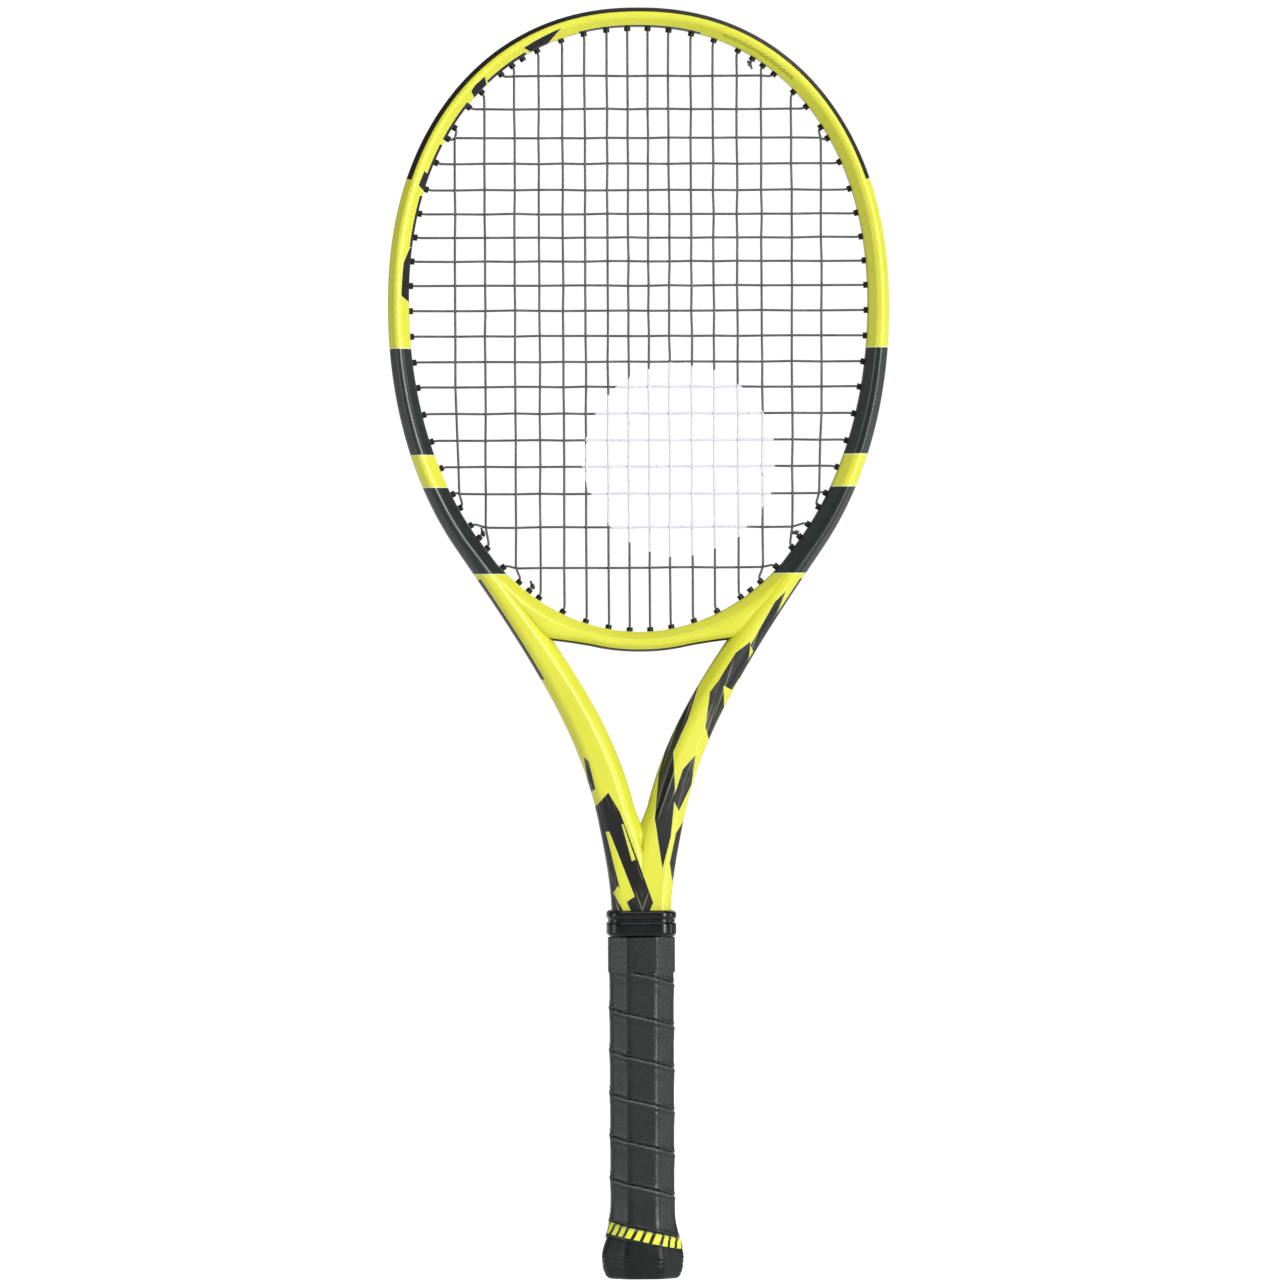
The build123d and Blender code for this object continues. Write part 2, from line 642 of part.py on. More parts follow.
with BuildPart() as grip_finishing_tape:
    add(prism(tape_bottom, grip_top - 0.2, grip_thickness + 0.03 + tape_thickness))
    add(prism(tape_bottom - 1, grip_top, grip_thickness + 0.03), mode=Mode.SUBTRACT)
grip_finishing_tape.part.label = "grip_finishing_tape"
export_step(grip_finishing_tape.part, "parts/grip_finishing_tape.step")

with BuildPart() as grip_collar:
    for low, bead in ((collar_bottom, lower_bead), (collar_top - upper_bead, upper_bead)):
        with BuildSketch(Plane.XY.offset(low)):
            RectangleRounded(collar_width, collar_depth, collar_corner)
        extrude(amount=bead)
    fillet(grip_collar.edges(), radius=bead_round)
    with BuildSketch(Plane.XY.offset(collar_bottom + lower_bead / 2)):
        RectangleRounded(collar_width - 1.6, collar_depth - 1.6, collar_corner - 0.8)
    extrude(amount=lower_bead / 2 + collar_neck + upper_bead / 2)
    with BuildSketch(Plane.XY.offset(collar_bottom)):
        RectangleRounded(collar_bore_width, collar_bore_depth, collar_bore_corner)
    extrude(amount=collar_top - collar_bottom, mode=Mode.SUBTRACT)
grip_collar.part.label = "grip_collar"
export_step(grip_collar.part, "parts/grip_collar.step")
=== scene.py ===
import random
from math import atan2, copysign, cos, exp, hypot, radians, sin, tan, tau

import bmesh
import bpy
import numpy as np
from mathutils import Matrix, Vector


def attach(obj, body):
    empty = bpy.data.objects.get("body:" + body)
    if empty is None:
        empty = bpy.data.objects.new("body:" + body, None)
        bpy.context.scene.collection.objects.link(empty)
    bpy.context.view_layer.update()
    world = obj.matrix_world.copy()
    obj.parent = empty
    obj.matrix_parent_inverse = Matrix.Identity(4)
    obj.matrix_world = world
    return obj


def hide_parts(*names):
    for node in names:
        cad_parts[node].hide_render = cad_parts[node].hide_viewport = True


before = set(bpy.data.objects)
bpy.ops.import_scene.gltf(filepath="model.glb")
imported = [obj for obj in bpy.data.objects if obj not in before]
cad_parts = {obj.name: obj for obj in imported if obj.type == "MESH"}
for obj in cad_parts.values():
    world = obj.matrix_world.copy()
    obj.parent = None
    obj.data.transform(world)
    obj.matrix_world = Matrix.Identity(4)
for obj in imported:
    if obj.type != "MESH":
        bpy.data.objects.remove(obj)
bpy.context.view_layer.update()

MM = 0.001
rng = random.Random(19)

# ---- sizes shared with the part -----------------------------------------------------------
hoop_half_width, hoop_middle = 129.5, 524.7
hoop_rise, rise_power = 155.2, 2.18
hoop_drop, drop_power = 181.5, 2.05
arm_start, arm_pull, shaft_pull = -45, 95, 75
leg_centre, shaft_top, shaft_bottom = 8, 200, 184
hoop_face = [(-90, 10.8), (-45, 12.6), (0, 11.1), (90, 10.2)]
arm_face = [(184, 15.6), (202, 15.7), (220, 18.4), (240, 20.6), (258, 20.2), (284, 19.4),
            (310, 18), (335, 16.4), (355, 15), (395, 12.6)]
beam_depth = [(184, 23), (240, 23), (335, 25), (395, 26), (525, 25), (600, 24), (680, 23)]
leg_overlap = [(184, 8), (202, 8), (220, 6), (240, 2.2), (252, 0)]
string_radius, weave = 0.65, 0.68
main_gaps = [5.45, 11.2, 12, 12, 12.8, 13.2, 16.2, 16]
cross_gaps = [17.8, 15.6, 13.9, 14.2, 12.9, 12.7, 12.8, 13.1, 13.5, 13.7, 13.9, 13.5, 14.4,
              14.4, 14.2, 14.6, 18.1, 21.9]
main_x = [sum(main_gaps[: i + 1]) for i in range(len(main_gaps))]
cross_z = [648.3 - sum(cross_gaps[:i]) for i in range(len(cross_gaps) + 1)]
shoulder_exits = {4: 335, 5: 349, 6: 362.5, 7: 383.5}
last_cross_exit = 375.5
tie_top_turn, tie_main_turn, tie_cross_turn = 61.7, -44.8, -61
tie_main_exit, tie_cross_exit = 390.5, 355.7
top_shift, bottom_shift = {8: 1.2}, {6: -1.5, 7: -1.1, 8: -2.9}
cross_shift = {1: -0.3, 3: -0.6, 17: 0.3, 18: 1.0, 19: 0.9}
last_main_lean = [(423, -1.8), (480, 0)]
bridge_mains = 3
groove_depth, groove_half = 3.1, 2.9
string_inset, loop_side, mouth_y = 1.5, 1.4, 0.3
mouth = 2.2 + 0.5
bumper_end, bumper_cut, strip_end, throat_turn = 592, 2.05, 323, -74
pallet_width, pallet_depth, pallet_corner = 31.7, 27.8, 8.5
tape_bottom, tape_top = 165, 183.8
door_seat, door_seat_depth, door_opening, cap_floor = 12.8, 1.65, 10.5, 3
grip_thickness, grip_top = 1.85, 184
flare = [(40, 1.85), (31, 2.4), (24, 4.0), (17, 5.7), (11.3, 6.25), (5, 5.6), (0, 3.6)]
skin = [(13, 0), (17, 0.6), (24, 1.3), (31, 1.7), (40, 1.85)]
grip_edge, grip_slope = 19.2, 0.19
pitch, seam_start = 22.9, 3.2


def between(knots, value):
    knots = sorted(knots)
    if value <= knots[0][0]:
        return knots[0][1]
    for (a, low), (b, high) in zip(knots, knots[1:]):
        if value <= b:
            return low + (high - low) * (value - a) / (b - a)
    return knots[-1][1]


def smooth(knots, value, reach):
    """Reading of a knot list averaged over a reach, so that its corners don't show."""
    return sum(between(knots, value + reach * k / 4) for k in range(-4, 5)) / 9


def hoop_path(angle):
    across, along = cos(radians(angle)), sin(radians(angle))
    rise, power = (hoop_rise, rise_power) if along >= 0 else (hoop_drop, drop_power)
    x = copysign(abs(across) ** (2 / power), across)
    z = copysign(abs(along) ** (2 / power), along)
    nx = copysign(abs(x) ** (power - 1), x) / hoop_half_width
    nz = copysign(abs(z) ** (power - 1), z) / rise
    size = hypot(nx, nz)
    return x * hoop_half_width, hoop_middle + z * rise, nx / size, nz / size


def arm_path(u):
    x0, z0, nx, nz = hoop_path(arm_start)
    xs = [x0, x0 + nz * arm_pull, leg_centre, leg_centre]
    zs = [z0, z0 - nx * arm_pull, shaft_top + shaft_pull, shaft_top]
    v = 1 - u
    weights = [v**3, 3 * v * v * u, 3 * v * u * u, u**3]
    slopes = [-3 * v * v, 3 * v * v - 6 * v * u, 6 * v * u - 3 * u * u, 3 * u * u]
    x, z = sum(w * p for w, p in zip(weights, xs)), sum(w * p for w, p in zip(weights, zs))
    dx, dz = sum(w * p for w, p in zip(slopes, xs)), sum(w * p for w, p in zip(slopes, zs))
    return x, z, -dz / hypot(dx, dz), dx / hypot(dx, dz)


def frame_path(turn):
    return hoop_path(turn) if turn >= arm_start else arm_path((arm_start - turn) / 45)


def face_width(turn):
    z = frame_path(turn)[1]
    if turn >= arm_start:
        return between(hoop_face, min(turn, 180 - turn))
    return smooth(arm_face, z, 8)


def outer_point(turn, inset):
    x, z, nx, nz = frame_path(turn)
    reach = face_width(turn) / 2 - inset
    return x + nx * reach, z + nz * reach


def inner_point(angle, reach):
    x, z, nx, nz = hoop_path(angle)
    inward = between(hoop_face, min(angle, 180 - angle)) / 2 + reach
    return x - nx * inward, z - nz * inward


def bridge_point(angle, inset):
    x, z, nx, nz = hoop_path(angle)
    reach = between(hoop_face, max(angle, -180 - angle)) / 2 - inset
    return x + nx * reach, z + nz * reach


def turn_where(point, reach, axis, value, low, high):
    rising = point(high, reach)[axis] > point(low, reach)[axis]
    for _ in range(50):
        middle = (low + high) / 2
        if (point(middle, reach)[axis] < value) == rising:
            low = middle
        else:
            high = middle
    return low


# ---- mesh helpers -----------------------------------------------------------------------
def rounded(corners, steps):
    """Closed outline with each corner (u, v, radius) turned into an arc of steps + 1 points."""
    points = []
    for i, (u, v, r) in enumerate(corners):
        a = Vector(corners[i - 1][:2]) - Vector((u, v))
        b = Vector(corners[(i + 1) % len(corners)][:2]) - Vector((u, v))
        a, b, room = a.normalized(), b.normalized(), min(a.length, b.length) / 2
        half = max(a.angle(b) / 2, 0.02)
        run = min(r / tan(half), room * 0.98)
        r = run * tan(half)
        middle = Vector((u, v)) + (a + b).normalized() * (r / sin(half)) if r > 1e-6 else None
        for k in range(steps + 1):
            if middle is None:
                points.append((u, v))
                continue
            start, end = Vector((u, v)) + a * run - middle, Vector((u, v)) + b * run - middle
            turn = start.angle_signed(end) if start.length > 1e-9 else 0
            q = -turn * k / steps
            points.append((middle.x + start.x * cos(q) - start.y * sin(q),
                           middle.y + start.x * sin(q) + start.y * cos(q)))
    return points


def mesh_from(name, points, faces):
    mesh = bpy.data.meshes.new(name)
    mesh.from_pydata([tuple(p) for p in np.asarray(points, float) * MM], [], faces)
    mesh.update()
    piece = bpy.data.objects.new(name, mesh)
    bpy.context.collection.objects.link(piece)
    return piece


def finish_mesh(piece, angle=35, weld=1e-6):
    bm = bmesh.new()
    bm.from_mesh(piece.data)
    bmesh.ops.remove_doubles(bm, verts=bm.verts, dist=weld)
    bmesh.ops.dissolve_degenerate(bm, edges=bm.edges, dist=weld)
    bmesh.ops.recalc_face_normals(bm, faces=bm.faces)
    bm.to_mesh(piece.data)
    bm.free()
    piece.data.shade_smooth()
    piece.data.set_sharp_from_angle(angle=radians(angle))
    even = piece.modifiers.new("even_normals", "WEIGHTED_NORMAL")
    even.keep_sharp = True
    return piece


def ring_faces(rings, around, closed=False, first=0):
    """Quads between rings of points, with the last ring joined to the first if closed."""
    faces = []
    for j in range(rings if closed else rings - 1):
        a, b = first + j * around, first + ((j + 1) % rings) * around
        faces += [(a + k, a + (k + 1) % around, b + (k + 1) % around, b + k)
                  for k in range(around)]
    return faces


def set_attribute(piece, name, values):
    data = piece.data.attributes.new(name, "FLOAT", "POINT").data
    data.foreach_set("value", np.asarray(values, np.float32))


# ---- frame: hoop, arms and shaft ----------------------------------------------------------
def tube(inner, outer, depth, groove, lean=0.0):
    """Points (along the normal, depth) of the bevelled frame tube with its string groove.

    A positive lean drops the outer side of the front and back faces, a negative one the inner."""
    width = inner + outer
    outer_run, inner_run, r = min(0.3 * width, 3.4), min(0.43 * width, 5.4), min(0.34 * width, 5)
    half = [(outer, 0.26 * depth, r), (outer - outer_run, depth / 2 * (1 - max(lean, 0)), r),
            (-inner + inner_run, depth / 2 * (1 + min(lean, 0)), r), (-inner, 0.22 * depth, r)]
    corners = [(outer, groove_half, 0.35), (outer - groove, groove_half, 0.2)][::-1] + half
    corners += [(u, -v, size) for u, v, size in reversed(corners)]
    return rounded(corners, 5)


# which way the front and back faces lean at each height, as a share of half the depth
FACE_LEAN = [(206, 0), (225, 0.07), (300, 0.11), (350, 0.09), (392, -0.02), (430, -0.06),
             (690, -0.08)]
NO_GROOVE, NO_RIM = 0.03, 99
groove_last = turn_where(outer_point, 0, 1, strip_end, -90, 0)
bumper_last = turn_where(outer_point, 0, 1, bumper_end, -90, 90)
bumper_first = bumper_last + 0.36
turn_step, arm_rings = 0.6, 130
jump = 0.02  # two rings this far either side of a place give the section a sharp step there
hoop_turns = [90 - turn_step * k for k in range(226)]
arm_turns = [arm_start - 45 * k / arm_rings for k in range(1, arm_rings + 1)]
steps = [place + side for place in (bumper_first, groove_last) for side in (jump, -jump)]
turns = sorted(hoop_turns + arm_turns + steps, reverse=True)
points, angles, reaches, outers = [], [], [], []


def add_ring(x, z, nx, nz, outline, angle, inner, outer=NO_RIM):
    """One section of the right half, with what the paint needs to know of each point."""
    for u, v in outline:
        points.append((max(x + nx * u, 0), v, z + nz * u))
        angles.append(angle)
        reaches.append(u + inner)
        outers.append(outer - u)


for turn in turns:
    x, z, nx, nz = frame_path(turn)
    half, depth = face_width(turn) / 2, smooth(beam_depth, z, 10)
    inner = half + between(leg_overlap, z)
    groove = groove_depth if turn > groove_last else NO_GROOVE
    outline = tube(inner, half, depth, groove, smooth(FACE_LEAN, z, 12))
    if turn > bumper_first:
        outline = [(min(u, half - bumper_cut), v) for u, v in outline]
    add_ring(x, z, nx, nz, outline, turn, inner, half)
around = len(outline)
shaft_inner, shaft_outer, shaft_depth = 15.8, 7.8, 23
for z in range(shaft_top - 1, shaft_bottom - 1, -1):
    add_ring(leg_centre, z, 1, 0, tube(shaft_inner, shaft_outer, shaft_depth, NO_GROOVE), -90,
             shaft_inner)
# the leg inside the handle, with as many points as the rings above it
leg_inner, leg_end = 12, 150
half_leg = [(5, 2.9, 0.1), (5, 6, 1), (1.5, 9.5, 1), (-leg_inner, 9.5, 1), (-leg_inner, 4, 1),
            (-leg_inner, 2, 1)]
leg = rounded(half_leg + [(u, -v, size) for u, v, size in reversed(half_leg)], 5)
for z in (shaft_bottom - 0.1, leg_end):
    add_ring(leg_centre, z, 1, 0, leg, -90, leg_inner)
rings = len(points) // around
faces = ring_faces(rings, around)
faces.append(tuple((rings - 1) * around + k for k in range(around)))
array = np.array(points)
on_middle = 1e-6
faces = [f for f in faces if max(array[list(f), 0]) > on_middle]
left = array * [-1, 1, 1]
count = len(array)
both = faces + [tuple(count + k for k in reversed(f)) for f in faces]
hairpin = mesh_from("hairpin", np.vstack([array, left]), both)
set_attribute(hairpin, "rim_angle", angles + angles)
set_attribute(hairpin, "rim_reach", reaches + reaches)
set_attribute(hairpin, "rim_outer", outers + outers)

# where the two arms meet, the mesh is divided and smoothed, so the crotch is one soft hollow
bm = bmesh.new()
bm.from_mesh(hairpin.data)
bmesh.ops.remove_doubles(bm, verts=bm.verts, dist=2e-6)


def near_crotch(v, low=0.208, high=0.262, aside=0.011):
    return low < v.co.z < high and abs(v.co.x) < aside


bmesh.ops.subdivide_edges(bm, edges=[e for e in bm.edges if all(map(near_crotch, e.verts))],
                          cuts=2, use_grid_fill=True)
crotch = [v for v in bm.verts if near_crotch(v, 0.214, 0.256, 0.0065)]
for _ in range(24):
    bmesh.ops.smooth_vert(bm, verts=crotch, factor=0.5, use_axis_x=True, use_axis_y=True,
                          use_axis_z=True)
bm.to_mesh(hairpin.data)
bm.free()
finish_mesh(hairpin, 40)

# ---- throat bridge ------------------------------------------------------------------------
# how far the lower edge swells to round off the corners of the throat: (degrees aside, reach)
CORNER_FILL = [(11, 0), (14, 0.9), (16, 1.9), (18, 3.2), (19.5, 4.5), (21, 5.2), (23, 4.6),
               (26, 2), (32, 0), (44, -0.5)]
points, angles, reaches, outers = [], [], [], []
bridge_turns = [-134 + turn_step * k for k in range(148)]
steps = [place + side for place in (-180 - throat_turn, throat_turn) for side in (jump, -jump)]
bridge_turns = sorted(bridge_turns + steps)
for turn in bridge_turns:
    x, z, nx, nz = hoop_path(turn)
    aside = abs(turn + 90)
    half = between(hoop_face, max(turn, -180 - turn)) / 2
    inner = half - between([(12, 0), (44, 0.45)], aside)
    depth = between([(0, 20), (16, 20.3), (36, 23.6), (44, 24.6)], aside)
    groove = groove_depth if aside < 90 + throat_turn else NO_GROOVE
    outer = half + smooth(CORNER_FILL, aside, 1.0)
    for u, v in tube(inner, outer, depth, groove):
        points.append((x + nx * u, v, z + nz * u))
        angles.append(max(turn, -180 - turn))
        reaches.append(u + half)
        outers.append(outer - u)
rings = len(points) // around
faces = ring_faces(rings, around)
faces += [tuple(range(around)), tuple((rings - 1) * around + k for k in range(around))]
bridge = mesh_from("bridge", points, faces)
set_attribute(bridge, "rim_angle", angles)
set_attribute(bridge, "rim_reach", reaches)
set_attribute(bridge, "rim_outer", outers)
finish_mesh(bridge, 40)

# ---- strings ------------------------------------------------------------------------------
X, Z = 0, 1


def arm_exit(height):
    return turn_where(cad_outer_point, string_inset, Z, height, -90, 0)


def cad_outer_point(turn, inset):
    x, z, nx, nz = frame_path(turn)
    width = face_width(turn) if turn >= arm_start else between(arm_face, z)
    return x + nx * (width / 2 - inset), z + nz * (width / 2 - inset)


main_tops, main_bottoms, cross_ends = [], [], []
for number, x in enumerate(main_x, start=1):
    top = turn_where(inner_point, mouth, X, x, 5, 90) + top_shift.get(number, 0)
    bottom = turn_where(inner_point, mouth, X, x, -90, -5) + bottom_shift.get(number, 0)
    main_tops.append((top, top))
    main_bottoms.append((arm_exit(shoulder_exits[number]) if number in shoulder_exits else bottom,
                         bottom))
for number, z in enumerate(cross_z, start=1):
    end = turn_where(inner_point, mouth, Z, z, -80, 80) + cross_shift.get(number, 0)
    cross_ends.append((end, end))
cross_ends[-1] = (arm_exit(last_cross_exit), cross_ends[-1][1])
tie_top = (tie_top_turn, tie_top_turn)
tie_main = (arm_exit(tie_main_exit), tie_main_turn)
tie_cross = (arm_exit(tie_cross_exit), tie_cross_turn)


def loop(first, last, y, side, edge=cad_outer_point):
    (x0, z0), (x1, z1) = edge(first, string_inset), edge(last, string_inset)
    pieces = max(4, round(hypot(x1 - x0, z1 - z0) / 4))
    route = []
    for number in range(1, pieces):
        x, z = edge(first + (last - first) * number / pieces, string_inset)
        route.append((side * x, y, z))
    return route


def through(hole, side, y, edge=cad_outer_point):
    (x0, z0), (x1, z1) = edge(hole[0], string_inset), inner_point(hole[1], mouth)
    return [(side * x0, 0, z0), (side * x1, y, z1)]


def side_of(column):
    return (-1, len(main_x) - column) if column < len(main_x) else (1, column - len(main_x) + 1)


drift = {}


def wander(kind, number, along):
    """Small sideways drift of a string in the bed, the same each time it is asked."""
    key = (kind, number)
    if key not in drift:
        drift[key] = [rng.uniform(-1, 1) for _ in range(24)]
    return 0.22 * drift[key][along % 24]


def main_at(number, height):
    """How far a main is from the middle at a height."""
    return main_x[number - 1] + (between(last_main_lean, height) if number == len(main_x) else 0)


def bed_main(column):
    side, number = side_of(column)
    top, bottom = main_tops[number - 1], main_bottoms[number - 1]
    low, high = inner_point(bottom[1], mouth)[Z], inner_point(top[1], mouth)[Z]
    rows = [r for r in range(len(cross_z)) if low < cross_z[r] < high]
    bed = [(side * main_at(number, cross_z[r]) + wander("main", column, r),
            weave if (column + r) % 2 else -weave, cross_z[r]) for r in reversed(rows)]
    edge = bridge_point if number <= bridge_mains else cad_outer_point
    up = through(bottom, side, copysign(mouth_y, bed[0][1]), edge) + bed
    return up + through(top, side, copysign(mouth_y, bed[-1][1]))[::-1]


def bed_cross(row):
    hole = cross_ends[row]
    reach = inner_point(hole[1], mouth)[X]
    bed = []
    for column in range(2 * len(main_x)):
        side, number = side_of(column)
        if main_at(number, cross_z[row]) < reach:
            y = -weave if (column + row) % 2 else weave
            bed.append((side * main_at(number, cross_z[row]), y,
                        cross_z[row] + wander("cross", row, column)))
    left = through(hole, -1, copysign(mouth_y, bed[0][1]))
    return left + bed + through(hole, 1, copysign(mouth_y, bed[-1][1]))[::-1]


main_route = loop(tie_main[0], main_bottoms[-1][0], loop_side, -1)
for column in range(2 * len(main_x)):
    run = bed_main(column)
    main_route += run if column % 2 == 0 else run[::-1]
    if column == 2 * len(main_x) - 1:
        break
    side, number = side_of(column)
    following = side_of(column + 1)[1]
    if column == len(main_x) - 1:
        inmost = main_bottoms[0][0]
        main_route += loop(-180 - inmost, inmost, loop_side, 1, bridge_point)
    elif column % 2 == 0:
        main_route += loop(main_tops[number - 1][0], main_tops[following - 1][0], loop_side, side)
    else:
        under = bridge_point if max(number, following) <= bridge_mains else cad_outer_point
        main_route += loop(main_bottoms[number - 1][0], main_bottoms[following - 1][0],
                           loop_side, side, under)
main_route += loop(main_bottoms[-1][0], tie_main[0], loop_side, 1)

cross_route = loop(tie_top[0], cross_ends[0][0], -loop_side, 1)
for row in range(len(cross_z)):
    run = bed_cross(row)
    cross_route += run if row % 2 else run[::-1]
    if row < len(cross_z) - 1:
        cross_route += loop(cross_ends[row][0], cross_ends[row + 1][0], -loop_side,
                            1 if row % 2 else -1)
cross_route += loop(cross_ends[-1][0], tie_cross[0], -loop_side, -1)


def bent(route, reach=2.4, steps=5):
    """The route with straight runs kept and each corner turned into a short smooth bend."""
    points = [np.array(q, float) for q in route]
    out = [points[0]]
    for before, corner, after in zip(points, points[1:], points[2:]):
        back, ahead = before - corner, after - corner
        lengths = np.linalg.norm(back), np.linalg.norm(ahead)
        cut = min(reach, 0.46 * lengths[0], 0.46 * lengths[1])
        start, end = corner + back / lengths[0] * cut, corner + ahead / lengths[1] * cut
        for k in range(steps):
            t = k / (steps - 1)
            out.append((1 - t) ** 2 * start + 2 * t * (1 - t) * corner + t * t * end)
    return out + [points[-1]]


def thread(path, radius=string_radius, around=10):
    """Round thread along points, closed at both ends: its points and faces."""
    path = np.array(path)
    along = np.gradient(path, axis=0)
    along /= np.linalg.norm(along, axis=1)[:, None]
    side = np.cross(along[0], [0.3, 0.2, 0.9])
    rings = []
    for place, ahead in zip(path, along):
        side = side - ahead * side.dot(ahead)
        side /= np.linalg.norm(side)
        up = np.cross(ahead, side)
        rings += [place + radius * (side * cos(tau * k / around) + up * sin(tau * k / around))
                  for k in range(around)]
    count = len(path)
    faces = ring_faces(count, around)
    faces += [tuple(range(around)), tuple((count - 1) * around + k for k in range(around))]
    return rings, faces


def knot(hole, side):
    """Tie-off knot at a barrel mouth: the thread comes out, loops over itself and is cut short."""
    (x0, z0), (x1, z1) = cad_outer_point(hole[0], string_inset), inner_point(hole[1], mouth)
    size = hypot(x1 - x0, z1 - z0)
    out = np.array([side * (x1 - x0) / size, 0, (z1 - z0) / size])
    flat, deep = np.array([-out[2], 0, out[0]]), np.array([0, 1.0, 0])
    start = np.array([side * x0, 0, z0])
    end = np.array([side * x1, 0, z1])
    route = [start, end]
    for k in range(15):
        t = 0.5 + tau * k / 15
        radius = 1.05 + 0.42 * cos(1.5 * t)
        route.append(end + out * (1.35 + 0.75 * sin(1.5 * t)) + flat * radius * cos(t)
                     + deep * radius * sin(t))
    tail = route[-1]
    route += [tail + out * 0.8 + flat * 0.9 + deep * 0.6,
              tail + out * 1.6 + flat * 1.9 + deep * 1.2]
    return route


def string_piece(name, route, ends):
    points, faces = thread(bent(route))
    for hole, side in ends:
        more, joined = thread(bent(knot(hole, side), 0.6, 3))
        faces += [tuple(k + len(points) for k in f) for f in joined]
        points += more
    piece = mesh_from(name, points, faces)
    return finish_mesh(piece, 50)


mains = string_piece("mains", main_route, [(tie_main, -1), (tie_main, 1)])
crosses = string_piece("crosses", cross_route, [(tie_top, 1), (tie_cross, -1)])


# ---- handle -------------------------------------------------------------------------------
half_width, half_depth = pallet_width / 2, pallet_depth / 2


def flared(x, y, grow):
    """A point of the pallet's outline moved out as the handle swells by grow."""
    return x * (1 + grow / half_width), y * (1 + grow / half_depth)


def octagon(grow, radius, steps=4, extra=6):
    """Rounded handle octagon grown from the pallet size, with points along its flats."""
    w, d, c = half_width + grow, half_depth + grow, pallet_corner + 0.586 * grow
    corners = [(w, -d + c), (w, d - c), (w - c, d), (-w + c, d), (-w, d - c), (-w, -d + c),
               (-w + c, -d), (w - c, -d)]
    arcs = rounded([(x, y, radius) for x, y in corners], steps)
    outline = []
    for i, point in enumerate(arcs):
        outline.append(point)
        if i % (steps + 1) == steps:
            nx, ny = arcs[(i + 1) % len(arcs)]
            outline += [(point[0] + (nx - point[0]) * k / extra,
                         point[1] + (ny - point[1]) * k / extra) for k in range(1, extra)]
    return outline


def seam_height(x, y, z):
    """How far round its turn the wrap is at a point, 0 to 1 from one edge to the next."""
    return ((z - seam_start) / pitch + atan2(x, -y) / tau) % 1


def wrap_relief(x, y, z):
    """Radial relief of the wrapped grip: a seam groove between a bead above and a roll below."""
    s = seam_height(x, y, z) * pitch
    groove = 0.6 * max(0, 1 - abs(s - 0.5) / 0.6)
    bead = 0.34 * exp(-(((s - 1.7) / 0.6) ** 2))
    below = pitch + 0.5 - s
    roll = 0.5 * exp(-(((below - 1.6) / 1.1) ** 2)) + 0.22 * exp(-(((below - 5) / 3) ** 2))
    return bead + roll - groove - 0.54


grip_rings, levels = [], 350
outline = octagon(0, 5)
edge_slope = grip_slope * 1.12  # the outline is 1.12 times narrower than the flare it slopes over
for j in range(levels):
    for x0, y0 in outline:
        low = grip_edge - edge_slope * x0
        z = low + (grip_top - low) * j / (levels - 1)
        x, y = flared(x0, y0, smooth(flare, z, 2.5) if z > 20 else between(flare, z))
        fade = min(1, (z - low) / 3, (grip_top - z) / 1.5 + 0.2)
        relief = wrap_relief(x, y, z) * fade
        if z - low < 0.8:
            relief -= 0.5 * (1 - (z - low) / 0.8) ** 2
        reach = hypot(x, y)
        grip_rings.append((x * (1 + relief / reach), y * (1 + relief / reach), z))
inner = octagon(0.05, 1.5)
for z in (grip_top, 60, 40):
    grip_rings += [(x, y, z) for x, y in inner]
for z in (31, 26, 22, 19):
    grow = between(flare, z) - between(skin, z) + 0.1
    grip_rings += [(*flared(x, y, grow), z if z > grip_edge else grip_edge - edge_slope * x)
                   for x, y in outline]
count = len(outline)
grip = mesh_from("grip_wrap", grip_rings,
                 ring_faces(len(grip_rings) // count, count, closed=True))
finish_mesh(grip, 60)

cap_rings = []
cap_levels = [40, 31, 24, 17, 15, 13.5] + [13 - 0.25 * k for k in range(45)]
cap_levels += [1.6, 1.2, 0.8, 0.45, 0.2, 0.05, 0]
for z in cap_levels:
    grow = between(flare, z) - between(skin, z) - 0.02
    if 2.6 < z < 13:  # shallow rings round the cap
        grow -= 0.16 * (0.5 + 0.5 * cos(tau * (z - 5.2) / 2.6))
    if z < 2:  # rounded bottom edge
        grow -= 2 - (4 - (2 - z) ** 2) ** 0.5
    cap_rings += [(*flared(x, y, grow), z) for x, y in outline]
for radius, z in ((door_seat, 0), (door_seat, door_seat_depth), (door_opening, door_seat_depth),
                  (door_opening, cap_floor)):
    cap_rings += [(radius * x / hypot(x, y), radius * y / hypot(x, y), z) for x, y in outline]
for z in (cap_floor, cap_levels[0]):  # inside, a little clear of the pallets' narrowed ends
    cap_rings += [(x * 0.942, y * 0.934, z) for x, y in outline]
cap = mesh_from("cap_shell", cap_rings, ring_faces(len(cap_rings) // count, count, closed=True))
finish_mesh(cap, 40)

tape_rings = []
for j in range(40):
    z = tape_bottom + (tape_top - tape_bottom) * j / 39
    for x, y in octagon(grip_thickness + 0.2 - 0.06 * sin(z * 0.9) ** 2, 2.4):
        tape_rings.append((x, y, z))
for z in (tape_top, tape_bottom):
    tape_rings += [(x, y, z) for x, y in octagon(grip_thickness + 0.02, 2.4)]
tape = mesh_from("finish_tape", tape_rings,
                 ring_faces(len(tape_rings) // count, count, closed=True))
finish_mesh(tape, 50)


